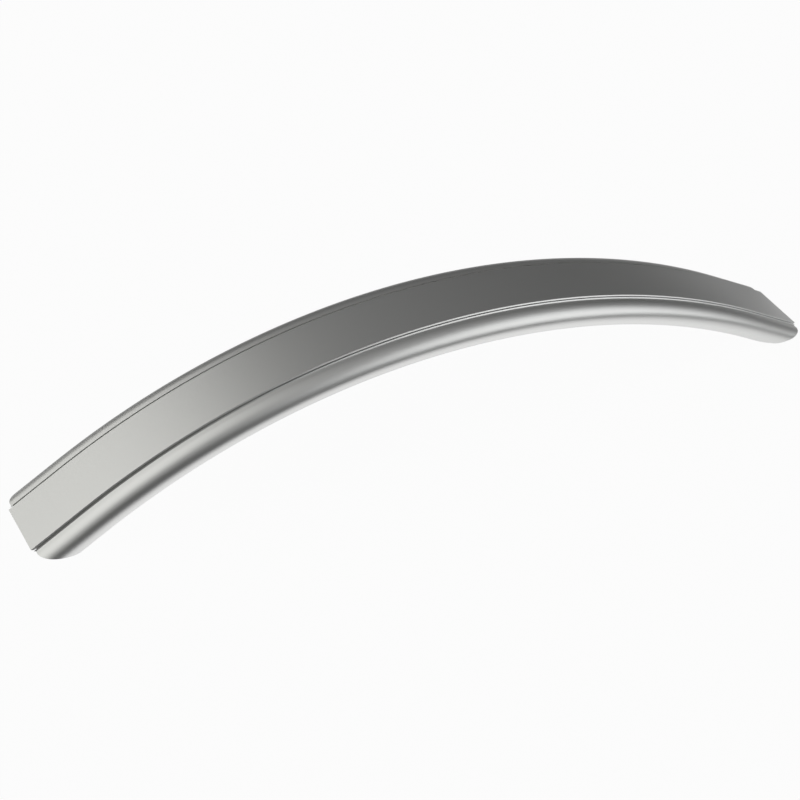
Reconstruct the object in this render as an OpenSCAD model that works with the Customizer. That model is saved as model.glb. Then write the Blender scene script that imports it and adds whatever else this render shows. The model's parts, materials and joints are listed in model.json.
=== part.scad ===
// Arched pull handle: one bar of extruded aluminium, bent to a bow and cut flat at both feet.
// Millimetres. X runs along the handle, Z points away from the door, Z = 0 is the mounting plane.

/* [Fixing] */
// Distance between the two screw holes
hole_spacing = 192; // [96:32:320]
// Drilled diameter, tapping size of the screw
hole_d = 3.3; // [2.5:0.1:4.2]
// Depth of each blind hole, before the drill point
hole_depth = 5; // [3:0.5:6]
// Distance of the hole mouth from the underside, square to the bar
hole_seat = 1.6; // [1.2:0.1:2.4]

/* [Bow] */
// Height of the outer face above the mounting plane
projection = 33; // [26:0.5:45]
// Straight run of the bar between each hole and the bend
straight_end = 4.5; // [1:0.5:12]

/* [Section] */
// Width of the bar
bar_width = 29.8; // [28.2:0.2:36]
// Thickness of the bar
bar_thickness = 8; // [7:0.1:11]
// Width of the flat band on the outer face
band_width = 16.9; // [10:0.1:18.6]
// Depth of the widest line of the bar below the band
widest_depth = 3.9; // [2.6:0.1:4.8]
// Width of the flat along the underside
underside_flat = 12.6; // [6:0.2:20]

/* [Grooves] */
// Drop from the band to the rolled edges, over two sloping shoulders
edge_drop = 0.48; // [0.3:0.02:0.8]
// Width of each shoulder
shoulder_width = 0.24; // [0.15:0.01:0.4]
// Width of the slot between the shoulders
slot_width = 0.5; // [0.2:0.02:0.6]
// Depth of the slot below the band
slot_depth = 0.7; // [0.5:0.05:1.2]
// Level strip of the rolled edge beside the shoulders
roll_flat = 1; // [0.4:0.1:2]

/* [Hidden] */
// Least metal left between a hole and the outer face
least_cover = 1.2;
// Slope of a standard drill point
drill_point = 31;
// Reach of the cutting shapes past the bar
past = 2;
// Larger than the whole handle
big = 1000;
// Facets in a full turn, of the bend and of the small arcs
bend_facets = 480;
arc_facets = 96;

// The line of the bar that passes through both hole mouths
hole_x = hole_spacing / 2;
hole_line = bar_thickness - hole_seat;
rise = projection - hole_line;

// Its end tangent and its top tangent cross at corner_x, which sets the bend
corner_x = (hole_x * hole_x + rise * rise - straight_end * straight_end) / (2 * (hole_x + straight_end));
bend_half = atan2(rise, hole_x - corner_x);
bend_r = corner_x / tan(bend_half / 2) + hole_line;
straight_run = straight_end + hole_line / tan(bend_half) + past;

// Metal above the outer rim of a hole, and the depth that leaves the least cover
rim_height = (hole_line / sin(bend_half) - hole_d / 2) * tan(bend_half);
drilled = min(hole_depth, rim_height - least_cover);

// Half widths in the section, from the middle outwards
band_half = band_width / 2;
slot_inner = band_half + shoulder_width;
slot_outer = slot_inner + slot_width;
roll_inner = slot_outer + shoulder_width;
roll_half = roll_inner + roll_flat;
bar_half = bar_width / 2;
flat_half = underside_flat / 2;

// Node to build

// Part of a disc between the directions d1 and d2
module sector(r, d1, d2) {
    intersection() {
        circle(r, $fn = arc_facets);
        polygon([[0, 0], 2 * r * d1, 2 * r * d2]);
    }
}

// Quarter of an oval, a wide and b high, from two arcs that share the 3-4-5 normal where they meet
module oval_quarter(a, b) {
    crown_r = 2 * a - b;
    nose_r = (3 * b - a) / 2;
    joint = [0.6, 0.8];
    intersection() {
        translate([0, b - crown_r]) sector(crown_r, joint, [0, 1]);
        square([a, b]);
    }
    translate([a - nose_r, 0]) sector(nose_r, [1, 0], joint);
}

// Straight-sided middle of the section: X is depth from the band, Y is across the bar
module section_core() {
    side = [
        [0, band_half],
        [-edge_drop / 2, slot_inner],
        [-slot_depth, slot_inner],
        [-slot_depth, slot_outer],
        [-edge_drop / 2, slot_outer],
        [-edge_drop, roll_inner],
        [-edge_drop, roll_half],
        [-widest_depth, roll_half],
        [-widest_depth, flat_half],
        [-bar_thickness, flat_half]
    ];
    last = len(side) - 1;
    other = [for (i = [0 : last]) [side[last - i][0], -side[last - i][1]]];
    polygon(concat(side, other));
}

// Rounded corners of one side of the section
module section_rounds() {
    translate([-widest_depth, roll_half])
        mirror([1, -1]) oval_quarter(bar_half - roll_half, widest_depth - edge_drop);
    translate([-widest_depth, flat_half])
        rotate(90) oval_quarter(bar_half - flat_half, bar_thickness - widest_depth);
}

module section() {
    section_core();
    section_rounds();
    mirror([0, 1]) section_rounds();
}

// One half of the bow, from the middle plane to a foot
module half_bow() {
    intersection() {
        translate([0, 0, projection - bend_r])
            rotate([0, bend_half - 90, 0])
            rotate([90, 0, 0]) {
                rotate_extrude(angle = bend_half + 1, $fn = bend_facets)
                    translate([bend_r, 0]) section();
                rotate([90, 0, 0])
                    linear_extrude(straight_run)
                    translate([bend_r, 0]) section();
            }
        translate([0, -big / 2, 0]) cube(big);
    }
}

// Blind tapping hole, up from the mounting plane
module screw_hole() {
    point = hole_d / 2 * tan(drill_point);
    translate([0, 0, -past])
        cylinder(h = drilled + past, d = hole_d, $fn = arc_facets);
    translate([0, 0, drilled])
        cylinder(h = point, d1 = hole_d, d2 = 0, $fn = arc_facets);
}

module bow_handle() {
    color("silver")
        difference() {
            union() {
                half_bow();
                mirror([1, 0, 0]) half_bow();
            }
            for (side = [-1, 1])
                translate([side * hole_x, 0, 0]) screw_hole();
        }
}

bow_handle();
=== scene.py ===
"""Satin aluminium bow handle: the bent bar, its anodised finish and a plain studio around it."""

import json
import math

import bpy
from bpy.props import FloatProperty, FloatVectorProperty, IntProperty, PointerProperty
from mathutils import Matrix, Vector


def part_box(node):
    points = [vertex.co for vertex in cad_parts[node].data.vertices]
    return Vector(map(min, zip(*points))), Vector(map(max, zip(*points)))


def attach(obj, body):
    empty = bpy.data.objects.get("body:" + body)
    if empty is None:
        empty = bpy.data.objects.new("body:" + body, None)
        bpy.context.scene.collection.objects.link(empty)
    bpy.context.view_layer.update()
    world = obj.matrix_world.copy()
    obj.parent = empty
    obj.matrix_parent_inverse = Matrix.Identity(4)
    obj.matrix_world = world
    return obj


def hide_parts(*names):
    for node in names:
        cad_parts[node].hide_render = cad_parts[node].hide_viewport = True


bl_info = {
    "name": "Bow Handle",
    "version": (1, 0, 0),
    "blender": (4, 5, 0),
    "location": "3D View > Sidebar > Bow Handle",
    "description": "An arched aluminium pull handle with its finish and a small studio",
    "category": "Object",
}

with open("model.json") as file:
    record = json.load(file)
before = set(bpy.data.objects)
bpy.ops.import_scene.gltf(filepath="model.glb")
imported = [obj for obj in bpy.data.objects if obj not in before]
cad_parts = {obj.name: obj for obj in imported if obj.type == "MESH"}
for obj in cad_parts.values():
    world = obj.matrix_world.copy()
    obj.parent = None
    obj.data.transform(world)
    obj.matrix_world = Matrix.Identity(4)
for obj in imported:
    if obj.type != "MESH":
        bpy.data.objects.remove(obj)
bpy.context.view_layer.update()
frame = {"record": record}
bar_low, bar_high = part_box("bow_handle")
fixing = next(m for m in frame["record"]["mounts"] if m["name"] == "screw_holes")["dims"]

MILLIMETRE = 0.001
NODE = "bow_handle"
BODY = "root"
SLOT = "anodised_aluminium"
FLOW = "flow"
WHITE = (1.0, 1.0, 1.0, 1.0)
BLACK = (0.0, 0.0, 0.0, 1.0)
# Sockets of a Mix node that hold its two colours and what they give
MIX_FIRST = 6
MIX_SECOND = 7
MIX_RESULT = 2

# Noise cells to the metre: lines drawn out along the bar, and the even grain of blasting
LINE_CELLS = (30.0, 9000.0, 9000.0)
BLAST_CELLS = (6000.0, 6000.0, 6000.0)
# How far the noise moves the roughness and the tone, and how deep it looks
ROUGHNESS_SPREAD = 0.06
TONE_SPREAD = 0.04
BUMP_STRENGTH = 0.05
BUMP_HEIGHT = 0.0001
# Depth, in slot depths, down to which the wall of a slot gets painted shade, a darker colour standing in
# for the shade in the slot
SLOT_SHADE_REACH = 1.1

# Where the painted pool of light on the floor, seen only in reflections, falls off, in metres from the
# middle of the handle
FALL_BEHIND = (-0.015, 0.03)
FALL_LEFT = (-0.1, -0.3)
FALL_RIGHT = (0.05, 0.13)
# Lean of the left edge: metres of depth to a metre across
LEFT_LEAN = 1.2
# Share of the floor's white that takes no shadow
WHITE_SHARE = 0.95
# Y of the directions between which the ceiling gains its full light, from front to back
CEILING_RISE = (-0.7, 0.1)
# Distance of both lamps from the middle of the handle
LAMP_DISTANCE = 1.5


class BowSizes(bpy.types.PropertyGroup):
    """Sizes of the bent bar."""

    length: FloatProperty(
        name="Length", description="Overall length between the tips of the feet",
        default=bar_high[0] - bar_low[0], unit="LENGTH")
    hole_spacing: FloatProperty(
        name="Hole Spacing", description="Distance between the two screw holes",
        default=fixing["spacing_x_mm"] * MILLIMETRE, unit="LENGTH")
    hole_radius: FloatProperty(
        name="Hole Radius", description="Radius of the tapping drill",
        default=fixing["hole_r_mm"] * MILLIMETRE, unit="LENGTH")
    hole_depth: FloatProperty(
        name="Hole Depth", description="Depth of each blind hole before the drill point",
        default=0.005, unit="LENGTH")
    hole_seat: FloatProperty(
        name="Hole Seat", description="Distance of the hole mouth from the underside, square to the bar",
        default=0.0016, unit="LENGTH")
    projection: FloatProperty(
        name="Projection", description="Height of the outer face above the mounting plane",
        default=bar_high[2] - bar_low[2], unit="LENGTH")
    straight_end: FloatProperty(
        name="Straight End", description="Straight run of the bar between each hole and the bend",
        default=0.0045, unit="LENGTH")
    bar_width: FloatProperty(
        name="Bar Width", description="Width across the rolled edges",
        default=bar_high[1] - bar_low[1], unit="LENGTH")
    bar_thickness: FloatProperty(
        name="Bar Thickness", description="Thickness of the bar",
        default=0.008, unit="LENGTH")
    band_width: FloatProperty(
        name="Band Width", description="Width of the flat band on the outer face",
        default=0.0169, unit="LENGTH")
    widest_depth: FloatProperty(
        name="Widest Depth", description="Depth of the widest line of the bar below the band",
        default=0.0039, unit="LENGTH")
    underside_flat: FloatProperty(
        name="Underside Flat", description="Width of the flat along the underside",
        default=0.0126, unit="LENGTH")
    edge_drop: FloatProperty(
        name="Edge Drop",
        description="Drop from the band to the rolled edges, over two sloping shoulders",
        default=0.00048, unit="LENGTH")
    shoulder_width: FloatProperty(
        name="Shoulder Width", description="Width of each shoulder",
        default=0.00024, unit="LENGTH")
    slot_width: FloatProperty(
        name="Slot Width", description="Width of the slot between the shoulders",
        default=0.0005, unit="LENGTH")
    slot_depth: FloatProperty(
        name="Slot Depth", description="Depth of the slot below the band",
        default=0.0007, unit="LENGTH")
    roll_flat: FloatProperty(
        name="Roll Flat", description="Level strip of the rolled edge beside the shoulders",
        default=0.001, unit="LENGTH")
    stations: IntProperty(
        name="Stations", description="Sections along the bow, a multiple of 22 plus 1",
        default=221, min=45)


class AluminiumFinish(bpy.types.PropertyGroup):
    """Satin anodised aluminium."""

    colour: FloatVectorProperty(
        name="Colour", description="Colour of the anodised metal",
        default=(0.818, 0.82, 0.81), subtype="COLOR", min=0.0, max=1.0)
    roughness: FloatProperty(
        name="Roughness", description="Softness of the satin reflection",
        default=0.43, subtype="FACTOR", min=0.0, max=1.0)
    # Painted shade: the walls of the slots beside the band get a darker colour for the shade that falls
    # in them
    slot_painted_shade: FloatProperty(
        name="Slot Painted Shade", description="Share of the colour on the wall of each slot beside the band",
        default=0.6, subtype="FACTOR", min=0.0, max=1.0)
    grain: FloatProperty(
        name="Grain", description="Strength of the fine lines left by the extrusion die",
        default=0.05, subtype="FACTOR", min=0.0, max=1.0)


class StudioSettings(bpy.types.PropertyGroup):
    """Camera, floor and lights."""

    azimuth: FloatProperty(
        name="Azimuth", description="Direction of the camera round the handle",
        default=math.radians(-26.068), subtype="ANGLE")
    elevation: FloatProperty(
        name="Elevation", description="Height of the camera above the horizon",
        default=math.radians(36.497), subtype="ANGLE")
    distance: FloatProperty(
        name="Distance", description="Distance of the camera from the point it looks at",
        default=0.57129, unit="LENGTH")
    look_at: FloatVectorProperty(
        name="Look At", description="Point in the middle of the picture",
        default=(-0.00683, 0.0, 0.005713), subtype="XYZ", unit="LENGTH")
    lens: FloatProperty(
        name="Lens", description="Focal length of the camera", default=100.524, unit="CAMERA")
    floor_colour: FloatVectorProperty(
        name="Floor Colour", description="Colour of the floor",
        default=(0.9, 0.9, 0.9), subtype="COLOR", min=0.0, max=1.0)
    # Painted light: these levels set the floor's brightness by place, as the metal sees it, a painted
    # pool of light in front of the handle
    floor_behind: FloatProperty(
        name="Floor Behind",
        description="Brightness of the floor behind the handle, as the metal sees it",
        default=0.43, subtype="FACTOR", min=0.0, max=1.0)
    floor_right: FloatProperty(
        name="Floor Right", description="Brightness of the floor at the right, as the metal sees it",
        default=0.8, subtype="FACTOR", min=0.0, max=1.0)
    floor_left: FloatProperty(
        name="Floor Left", description="Brightness of the floor at the left front, as the metal sees it",
        default=0.2, subtype="FACTOR", min=0.0, max=1.0)
    room: FloatProperty(
        name="Room", description="Brightness of the dim room at the horizon", default=0.025, min=0.0)
    ceiling: FloatProperty(
        name="Ceiling", description="Light that the room gains towards the ceiling",
        default=0.227, min=0.0)
    ceiling_front: FloatProperty(
        name="Ceiling Front", description="Share of the ceiling's light over the camera",
        default=0.5, subtype="FACTOR", min=0.0, max=1.0)


class Wire:
    """An output socket that takes part in arithmetic."""

    def __init__(self, tree, socket):
        self.tree = tree
        self.socket = socket

    def output(self, name):
        """Another output of the same node."""
        return Wire(self.tree, self.socket.node.outputs[name])

    def split(self):
        """The X, Y and Z of a vector."""
        x = make(self.tree, "ShaderNodeSeparateXYZ", inputs={0: self})
        return x, x.output("Y"), x.output("Z")

    def math_node(self, operation, *values):
        return make(self.tree, "ShaderNodeMath", {"operation": operation}, dict(enumerate(values)))

    def maths(self, operation, *others):
        """An operation that has no sign in Python, on this value and any others."""
        return self.math_node(operation, self, *others)

    def __add__(self, other):
        return self.math_node("ADD", self, other)

    def __radd__(self, other):
        return self.math_node("ADD", other, self)

    def __sub__(self, other):
        return self.math_node("SUBTRACT", self, other)

    def __rsub__(self, other):
        return self.math_node("SUBTRACT", other, self)

    def __mul__(self, other):
        return self.math_node("MULTIPLY", self, other)

    def __rmul__(self, other):
        return self.math_node("MULTIPLY", other, self)

    def __truediv__(self, other):
        return self.math_node("DIVIDE", self, other)

    def __rtruediv__(self, other):
        return self.math_node("DIVIDE", other, self)

    def __neg__(self):
        return self * -1.0


def make(tree, kind, settings=None, inputs=None, output=0):
    """Adds a node, sets it up, fills or links its sockets and returns one of its outputs."""
    node = tree.nodes.new(kind)
    for name, value in (settings or {}).items():
        setattr(node, name, value)
    for key, value in (inputs or {}).items():
        socket = node.inputs[key]
        several = value if isinstance(value, list) else [value]
        for item in several:
            if isinstance(item, Wire):
                tree.links.new(item.socket, socket)
            else:
                socket.default_value = item
    if not node.outputs:
        return node
    return Wire(tree, node.outputs[output])


def label(name):
    """The name of a size as the tree's inputs show it."""
    return name.replace("_", " ").title()


class BowTree:
    """Geometry nodes that extrude the section, bend it to a bow, cut the feet and drill them."""

    # Every size but the number of stations
    LENGTHS = [name for name in BowSizes.__annotations__ if name != "stations"]
    # The bend runs from -1 to 1 along the bar, and each straight end takes END more
    END = 0.1
    # Length that the finish's pattern runs on over a straight end
    END_FLOW = 0.012
    # Steps of each line and arc of the section
    BAND_STEPS = 18
    GROOVE_STEPS = 2
    ROLL_STEPS = 4
    UNDER_STEPS = 8
    CROWN_STEPS = 14
    NOSE_STEPS = 18
    # Points of the section closer than this are one
    WELD = 1e-7
    # Sides of the drill, its reach below the mounting plane and the slope of its point
    DRILL_FACETS = 48
    DRILL_PAST = 0.002
    DRILL_POINT = math.radians(31.0)
    # A point of the drill is on its axis within the root of this
    ON_AXIS = 1e-8
    # Edges that turn more than this stay crisp
    CRISP_ANGLE = math.radians(20.0)

    def __init__(self):
        self.tree = bpy.data.node_groups.new("Bow Bar", "GeometryNodeTree")
        face = self.tree.interface
        for name in self.LENGTHS:
            face.new_socket(label(name), in_out="INPUT", socket_type="NodeSocketFloat")
        face.new_socket("Stations", in_out="INPUT", socket_type="NodeSocketInt")
        face.new_socket("Material", in_out="INPUT", socket_type="NodeSocketMaterial")
        face.new_socket("Geometry", in_out="OUTPUT", socket_type="NodeSocketGeometry")
        self.given = self.add("NodeGroupInput")
        bar = self.bend(self.extrude(self.section()))
        self.finish(self.drill(bar))

    def size(self, name):
        return self.given.output(label(name))

    def add(self, kind, settings=None, inputs=None, output=0):
        return make(self.tree, kind, settings, inputs, output)

    def point(self, x, y, z=0.0):
        return self.add("ShaderNodeCombineXYZ", inputs={0: x, 1: y, 2: z})

    def line(self, start, end, segments):
        straight = self.add("GeometryNodeCurvePrimitiveLine", inputs={"Start": start, "End": end})
        return self.add("GeometryNodeResampleCurve", inputs={"Curve": straight, "Count": segments + 1})

    def arc(self, centre, radius, start, sweep, segments):
        """An arc in the section, with its angles in degrees from the outward side."""
        inputs = {
            "Resolution": segments + 1, "Radius": radius,
            "Start Angle": math.radians(start), "Sweep Angle": math.radians(sweep),
        }
        curve = self.add("GeometryNodeCurveArc", {"mode": "RADIUS"}, inputs)
        return self.add("GeometryNodeTransform", inputs={"Geometry": curve, "Translation": centre})

    def oval(self, x, y, across, high, upwards):
        """Two arcs of an oval corner that share the 3-4-5 normal where they meet."""
        crown = 2.0 * across - high
        nose = (3.0 * high - across) / 2.0
        turn = math.degrees(math.atan2(4.0, 3.0))
        side = 1.0 if upwards else -1.0
        crown_centre = self.point(x, y + side * (high - crown))
        nose_centre = self.point(x + across - nose, y)
        return [
            self.arc(crown_centre, crown, side * 90.0, side * (turn - 90.0), self.CROWN_STEPS),
            self.arc(nose_centre, nose, side * turn, -side * turn, self.NOSE_STEPS),
        ]

    def section(self):
        """The bar's closed section: X across the bar, Y outwards from the band."""
        band = self.size("band_width") / 2.0
        slot_inner = band + self.size("shoulder_width")
        slot_outer = slot_inner + self.size("slot_width")
        inner = slot_outer + self.size("shoulder_width")
        roll = inner + self.size("roll_flat")
        half = self.size("bar_width") / 2.0
        flat = self.size("underside_flat") / 2.0
        drop = -self.size("edge_drop")
        slot = -self.size("slot_depth")
        widest = -self.size("widest_depth")
        under = -self.size("bar_thickness")
        groove = [
            self.point(band, 0.0),
            self.point(slot_inner, drop / 2.0),
            self.point(slot_inner, slot),
            self.point(slot_outer, slot),
            self.point(slot_outer, drop / 2.0),
            self.point(inner, drop),
        ]
        parts = [
            self.line(self.point(0.0, 0.0), groove[0], self.BAND_STEPS),
            *(self.line(start, end, self.GROOVE_STEPS) for start, end in zip(groove, groove[1:])),
            self.line(groove[-1], self.point(roll, drop), self.ROLL_STEPS),
            *self.oval(roll, widest, half - roll, drop - widest, True),
            *self.oval(flat, widest, half - flat, widest - under, False),
            self.line(self.point(flat, under), self.point(0.0, under), self.UNDER_STEPS),
        ]
        one = self.add("GeometryNodeJoinGeometry", inputs={0: parts})
        other = self.add("GeometryNodeTransform", inputs={"Geometry": one, "Scale": (-1.0, 1.0, 1.0)})
        both = self.add("GeometryNodeJoinGeometry", inputs={0: [one, other]})
        edges = self.add("GeometryNodeCurveToMesh", inputs={"Curve": both})
        welded = self.add(
            "GeometryNodeMergeByDistance", inputs={"Geometry": edges, "Distance": self.WELD})
        loop = self.add("GeometryNodeMeshToCurve", inputs={"Mesh": welded})
        # The sweep turns the section's Y to -Z
        return self.add("GeometryNodeTransform", inputs={"Geometry": loop, "Scale": (1.0, -1.0, 1.0)})

    def extrude(self, section):
        """A straight bar along X in shares of the bend, with the section in Y and Z."""
        reach = 1.0 + self.END
        length = self.add(
            "GeometryNodeCurvePrimitiveLine",
            inputs={"Start": (-reach, 0.0, 0.0), "End": (reach, 0.0, 0.0)})
        stations = self.add(
            "GeometryNodeResampleCurve", inputs={"Curve": length, "Count": self.size("stations")})
        return self.add(
            "GeometryNodeCurveToMesh",
            inputs={"Curve": stations, "Profile Curve": section, "Fill Caps": True})

    def bend(self, bar):
        """Bends the bar on its former and lets every fibre run on to the mounting plane."""
        along, across, out = self.add("GeometryNodeInputPosition").split()
        hole_x = self.size("hole_spacing") / 2.0
        hole_line = self.size("bar_thickness") - self.size("hole_seat")
        rise = self.size("projection") - hole_line
        run = self.size("straight_end")
        corner = (hole_x * hole_x + rise * rise - run * run) / (2.0 * (hole_x + run))
        angle = rise.maths("ARCTAN2", hole_x - corner)
        radius = corner / (angle / 2.0).maths("TANGENT") + hole_line
        self.hole_x = hole_x

        fibre = radius + out
        bent = along.maths("MINIMUM", 1.0).maths("MAXIMUM", -1.0)
        turn = bent * angle
        height = fibre * turn.maths("COSINE") + self.size("projection") - radius
        share = (along.maths("ABSOLUTE") - 1.0).maths("MAXIMUM", 0.0) / self.END
        x = fibre * turn.maths("SINE") + along.maths("SIGN") * share * height / angle.maths("TANGENT")
        x = x * self.size("length") / (2.0 * (hole_x + hole_line / angle.maths("SINE")))
        z = height - share * height
        run_along = turn * radius + along.maths("SIGN") * share * self.END_FLOW
        flow = self.point(run_along, across, out)
        kept = self.add(
            "GeometryNodeStoreNamedAttribute", {"data_type": "FLOAT_VECTOR", "domain": "POINT"},
            {"Geometry": bar, "Name": FLOW, "Value": flow})
        return self.add(
            "GeometryNodeSetPosition", inputs={"Geometry": kept, "Position": self.point(x, across, z)})

    def drill(self, bar):
        """Two blind holes with drill points, up from the mounting plane."""
        radius = self.size("hole_radius")
        depth = self.size("hole_depth")
        drill = self.add(
            "GeometryNodeMeshCylinder", {"fill_type": "TRIANGLE_FAN"},
            {"Vertices": self.DRILL_FACETS, "Radius": radius, "Depth": depth + self.DRILL_PAST})
        middle = self.point(0.0, 0.0, (depth - self.DRILL_PAST) / 2.0)
        drill = self.add("GeometryNodeTransform", inputs={"Geometry": drill, "Translation": middle})
        x, y, z = self.add("GeometryNodeInputPosition").split()
        tip = (x * x + y * y).maths("LESS_THAN", self.ON_AXIS) * z.maths("GREATER_THAN", 0.0)
        lift = tip * radius * math.tan(self.DRILL_POINT)
        drill = self.add(
            "GeometryNodeSetPosition", inputs={"Geometry": drill, "Offset": self.point(0.0, 0.0, lift)})
        places = self.add(
            "GeometryNodeMeshLine", {"mode": "END_POINTS"},
            {"Count": 2, "Start Location": self.point(-self.hole_x, 0.0),
             "Offset": self.point(self.hole_x, 0.0)})
        drills = self.add("GeometryNodeInstanceOnPoints", inputs={"Points": places, "Instance": drill})
        drills = self.add("GeometryNodeRealizeInstances", inputs={"Geometry": drills})
        return self.add(
            "GeometryNodeMeshBoolean", {"operation": "DIFFERENCE", "solver": "MANIFOLD"},
            {"Mesh 1": bar, "Mesh 2": drills})

    def finish(self, bar):
        """Smooth faces with crisp cut edges, and the finish."""
        solid = self.add("GeometryNodeRealizeInstances", inputs={"Geometry": bar})
        smooth = self.add(
            "GeometryNodeSetShadeSmooth", {"domain": "FACE"}, {"Geometry": solid, "Shade Smooth": True})
        bent = self.add("GeometryNodeInputMeshEdgeAngle")
        crisp = self.add(
            "GeometryNodeSetShadeSmooth", {"domain": "EDGE"},
            {"Geometry": smooth, "Selection": bent.maths("GREATER_THAN", self.CRISP_ANGLE),
             "Shade Smooth": False})
        done = self.add(
            "GeometryNodeSetMaterial", inputs={"Geometry": crisp, "Material": self.size("material")})
        self.add("NodeGroupOutput", inputs={"Geometry": done})

    def apply(self, obj, sizes, material):
        """Puts the tree on an object, sets its inputs and returns the finished plain mesh."""
        modifier = obj.modifiers.new("Bow Bar", "NODES")
        modifier.node_group = self.tree
        sockets = {s.name: s.identifier for s in self.tree.interface.items_tree if s.in_out == "INPUT"}
        for name in self.LENGTHS:
            modifier[sockets[label(name)]] = getattr(sizes, name)
        modifier[sockets["Stations"]] = sizes.stations
        modifier[sockets["Material"]] = material
        bpy.context.view_layer.update()
        graph = bpy.context.evaluated_depsgraph_get()
        ready = obj.evaluated_get(graph)
        mesh = bpy.data.meshes.new_from_object(ready, preserve_all_data_layers=True, depsgraph=graph)
        obj.modifiers.remove(modifier)
        return mesh


def shade(colour, share):
    """A colour times a share, no lighter than white, with full alpha."""
    return (*(min(1.0, channel * share) for channel in colour), 1.0)


def mix(tree, factor, first, second):
    """Mixes two colours."""
    inputs = {"Factor": factor, MIX_FIRST: first, MIX_SECOND: second}
    return make(tree, "ShaderNodeMix", {"data_type": "RGBA"}, inputs, MIX_RESULT)


def noise(tree, place, cells, detail):
    """Noise with its own number of cells to the metre each way."""
    scaled = make(tree, "ShaderNodeMapping", inputs={"Vector": place, "Scale": cells})
    return make(tree, "ShaderNodeTexNoise", inputs={"Vector": scaled, "Scale": 1.0, "Detail": detail})


def anodised_aluminium(finish, sizes):
    """Satin metal with the fine lengthwise lines of an extrusion, and painted shade that darkens the
    slots beside the band.
    """
    material = bpy.data.materials.new(SLOT)
    material.use_nodes = True
    tree = material.node_tree
    shader = tree.nodes["Principled BSDF"]
    flow = make(tree, "ShaderNodeAttribute", {"attribute_name": FLOW}, output="Vector")
    grain = noise(tree, flow, LINE_CELLS, detail=3.0)
    blast = noise(tree, flow, BLAST_CELLS, detail=2.0)
    rough = finish.roughness + (grain - 0.5) * ROUGHNESS_SPREAD + (blast - 0.5) * ROUGHNESS_SPREAD

    _, across, out = flow.split()
    # Painted shade: the walls of the slots are darkened in colour for the shade that falls in these
    # narrow recesses
    slot_middle = sizes.band_width / 2.0 + sizes.shoulder_width + sizes.slot_width / 2.0
    slot = across.maths("ABSOLUTE").maths("LESS_THAN", slot_middle)
    slot = slot * out.maths("LESS_THAN", -sizes.edge_drop / 2.0)
    slot = slot * out.maths("GREATER_THAN", -sizes.slot_depth * SLOT_SHADE_REACH)
    dark = shade(finish.colour, 1.0 - TONE_SPREAD)
    light = shade(finish.colour, 1.0 + TONE_SPREAD)
    colour = mix(tree, 0.5 + (grain - 0.5) * finish.grain, dark, light)
    colour = mix(tree, slot, colour, shade(finish.colour, finish.slot_painted_shade))

    height = grain * 0.5 + blast * 0.5
    bump = make(
        tree, "ShaderNodeBump",
        inputs={"Strength": BUMP_STRENGTH, "Distance": BUMP_HEIGHT, "Height": height})
    shader.inputs["Metallic"].default_value = 1.0
    tree.links.new(colour.socket, shader.inputs["Base Color"])
    tree.links.new(rough.socket, shader.inputs["Roughness"])
    tree.links.new(bump.socket, shader.inputs["Normal"])
    return material


def light_path(tree):
    """Whether a ray comes from the camera, from a reflection or through glass."""
    camera = make(tree, "ShaderNodeLightPath", output="Is Camera Ray")
    return camera, camera.output("Is Glossy Ray"), camera.output("Is Transmission Ray")


def fall_off(tree, value, ends, level):
    """Falls smoothly from 1 to a level between two values."""
    return make(
        tree, "ShaderNodeMapRange", {"interpolation_type": "SMOOTHSTEP"},
        {"Value": value, "From Min": ends[0], "From Max": ends[1], "To Min": 1.0, "To Max": level})


def studio_floor(studio):
    """Floor that is white to the camera, and to the metal only close in front of the handle, as a painted
    pool of light.
    """
    material = bpy.data.materials.new("studio_floor")
    material.use_nodes = True
    tree = material.node_tree
    tree.nodes.remove(tree.nodes["Principled BSDF"])
    camera, glossy, through = light_path(tree)
    across, depth, _ = make(tree, "ShaderNodeTexCoord", output="Object").split()
    behind = fall_off(tree, depth, FALL_BEHIND, studio.floor_behind)
    left = fall_off(tree, depth + across * LEFT_LEAN, FALL_LEFT, studio.floor_left)
    right = fall_off(tree, across, FALL_RIGHT, studio.floor_right)
    # Painted light: for reflections only, the floor's emission falls off by place into a pool of light in
    # front of the handle
    level = behind.maths("MINIMUM", left).maths("MINIMUM", right)
    floor_painted_light = mix(tree, glossy * (1.0 - level), WHITE, BLACK)
    white = make(tree, "ShaderNodeEmission", inputs={"Color": floor_painted_light, "Strength": 1.0})
    matt = make(tree, "ShaderNodeBsdfDiffuse", inputs={"Color": (*studio.floor_colour, 1.0)})
    seen = camera.maths("MAXIMUM", glossy).maths("MAXIMUM", through)
    both = make(tree, "ShaderNodeMixShader", inputs={0: seen * WHITE_SHARE, 1: matt, 2: white})
    tree.links.new(both.socket, tree.nodes["Material Output"].inputs["Surface"])
    return material


def dim_room(studio):
    """A dim room that gets lighter towards the ceiling, and a white background for the camera."""
    world = bpy.data.worlds.new("dim_room")
    world.use_nodes = True
    tree = world.node_tree
    camera, _, through = light_path(tree)
    _, depth, height = make(tree, "ShaderNodeTexCoord", output="Generated").split()
    up = height.maths("MAXIMUM", 0.0)
    rise = {
        "Value": depth, "From Min": CEILING_RISE[0], "From Max": CEILING_RISE[1],
        "To Min": studio.ceiling_front, "To Max": 1.0,
    }
    back = make(tree, "ShaderNodeMapRange", inputs=rise)
    level = studio.room + up * up * back * studio.ceiling
    seen = camera.maths("MAXIMUM", through)
    level = level + seen * (1.0 - level)
    background = tree.nodes["Background"]
    background.inputs["Color"].default_value = WHITE
    tree.links.new(level.socket, background.inputs["Strength"])
    return world


def direction(azimuth, elevation):
    """Unit vector by two angles in degrees. Azimuth runs from +Y towards +X."""
    a, e = math.radians(azimuth), math.radians(elevation)
    return Vector((math.sin(a) * math.cos(e), math.cos(a) * math.cos(e), math.sin(e)))


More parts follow.
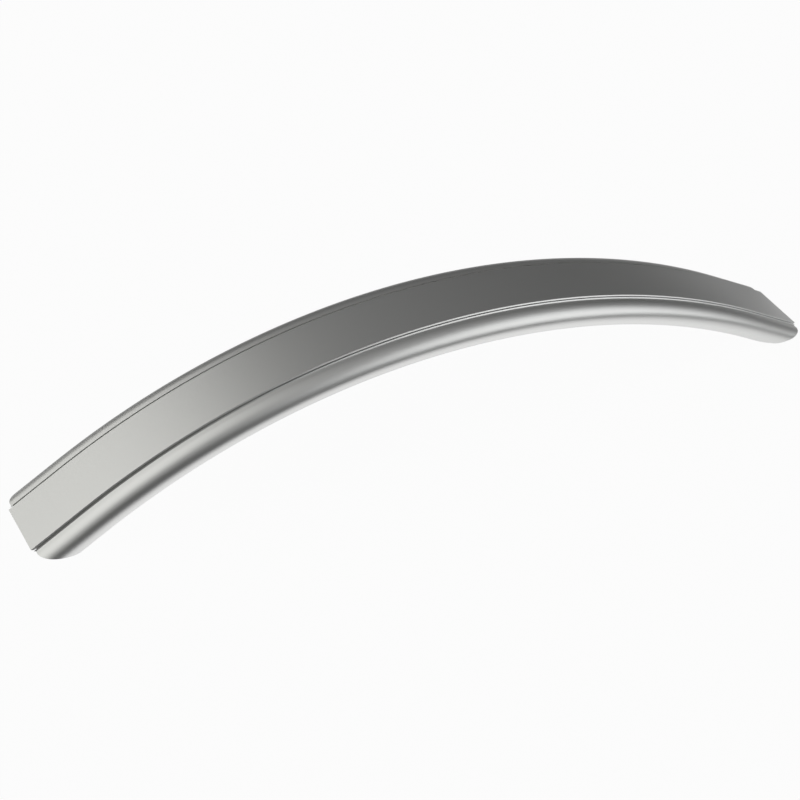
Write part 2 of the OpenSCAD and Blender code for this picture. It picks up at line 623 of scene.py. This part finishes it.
def softbox(name, azimuth, elevation, yaw, pitch, width, height, radiance, tint):
    """A rectangular lamp that faces the handle, but for a yaw and a pitch."""
    lamp = bpy.data.lights.new(name, "AREA")
    lamp.shape = "RECTANGLE"
    lamp.size = width
    lamp.size_y = height
    lamp.energy = radiance * math.pi * width * height
    lamp.color = tint
    obj = bpy.data.objects.new(name, lamp)
    obj.location = direction(azimuth, elevation) * LAMP_DISTANCE
    obj.rotation_mode = "QUATERNION"
    obj.rotation_quaternion = (-direction(azimuth + yaw, elevation + pitch)).to_track_quat("-Z", "Y")
    obj.visible_camera = False
    bpy.context.scene.collection.objects.link(obj)


class BOWHANDLE_OT_bar(bpy.types.Operator):
    """Make the bent bar and its anodised finish"""

    bl_idname = "bow_handle.bar"
    bl_label = "Bent Bar"

    def execute(self, context):
        scene = context.scene
        finish = anodised_aluminium(scene.bow_finish, scene.bow_sizes)
        blank = bpy.data.objects.new("bar_blank", bpy.data.meshes.new("bar_blank"))
        scene.collection.objects.link(blank)
        mesh = BowTree().apply(blank, scene.bow_sizes, finish)
        bpy.data.objects.remove(blank)
        if not mesh.polygons:
            raise RuntimeError("the bent bar has no faces")
        mesh.name = "bent_bar"
        bar = bpy.data.objects.new("bent_bar", mesh)
        scene.collection.objects.link(bar)
        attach(bar, BODY)
        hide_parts(NODE)
        return {"FINISHED"}


class BOWHANDLE_OT_stage(bpy.types.Operator):
    """Make the floor, the soft lamps, the room and the camera"""

    bl_idname = "bow_handle.stage"
    bl_label = "Studio Stage"

    def execute(self, context):
        scene = context.scene
        studio = scene.bow_studio
        self.lay_floor(scene, studio)
        softbox(
            "left_softbox", azimuth=-42.3, elevation=42.4, yaw=-40.6, pitch=-10.2,
            width=2.102, height=1.404, radiance=0.9, tint=(1.0, 1.0, 0.965))
        softbox(
            "right_softbox", azimuth=112.1, elevation=49.2, yaw=33.2, pitch=-36.5,
            width=1.612, height=1.498, radiance=1.134, tint=(0.99, 1.0, 1.0))
        scene.world = dim_room(studio)
        self.place_camera(scene, studio)
        scene.view_settings.view_transform = "Standard"
        return {"FINISHED"}

    def lay_floor(self, scene, studio):
        reach, below = 12.0, -0.00005
        mesh = bpy.data.meshes.new("floor")
        sides = ((-1, -1), (1, -1), (1, 1), (-1, 1))
        corners = [(x * reach, y * reach, below) for x, y in sides]
        mesh.from_pydata(corners, [], [(0, 1, 2, 3)])
        mesh.materials.append(studio_floor(studio))
        floor = bpy.data.objects.new("floor", mesh)
        scene.collection.objects.link(floor)

    def place_camera(self, scene, studio):
        data = bpy.data.cameras.new("camera")
        data.lens = studio.lens
        data.sensor_width = 36.0
        data.clip_start = 0.01
        data.clip_end = 50.0
        camera = bpy.data.objects.new("camera", data)
        level = math.cos(studio.elevation)
        back = Vector((
            math.sin(studio.azimuth) * level,
            -math.cos(studio.azimuth) * level,
            math.sin(studio.elevation)))
        camera.location = Vector(studio.look_at) + back * studio.distance
        camera.rotation_mode = "QUATERNION"
        camera.rotation_quaternion = (-back).to_track_quat("-Z", "Y")
        scene.collection.objects.link(camera)
        scene.camera = camera


class BOWHANDLE_PT_panel(bpy.types.Panel):
    """Bow handle tools"""

    bl_idname = "BOWHANDLE_PT_panel"
    bl_label = "Bow Handle"
    bl_space_type = "VIEW_3D"
    bl_region_type = "UI"
    bl_category = "Bow Handle"

    def draw(self, context):
        layout = self.layout
        for group in (context.scene.bow_sizes, context.scene.bow_finish, context.scene.bow_studio):
            box = layout.box()
            for name in group.bl_rna.properties.keys():
                if name not in {"rna_type", "name"}:
                    box.prop(group, name)
        layout.operator(BOWHANDLE_OT_stage.bl_idname)
        layout.operator(BOWHANDLE_OT_bar.bl_idname)


CLASSES = (
    BowSizes, AluminiumFinish, StudioSettings, BOWHANDLE_OT_bar, BOWHANDLE_OT_stage, BOWHANDLE_PT_panel,
)


def register():
    for cls in CLASSES:
        bpy.utils.register_class(cls)
    bpy.types.Scene.bow_sizes = PointerProperty(type=BowSizes)
    bpy.types.Scene.bow_finish = PointerProperty(type=AluminiumFinish)
    bpy.types.Scene.bow_studio = PointerProperty(type=StudioSettings)


def unregister():
    del bpy.types.Scene.bow_studio
    del bpy.types.Scene.bow_finish
    del bpy.types.Scene.bow_sizes
    for cls in reversed(CLASSES):
        bpy.utils.unregister_class(cls)


def main():
    register()
    bpy.ops.bow_handle.stage()
    bpy.ops.bow_handle.bar()


if __name__ == "__main__":
    main()
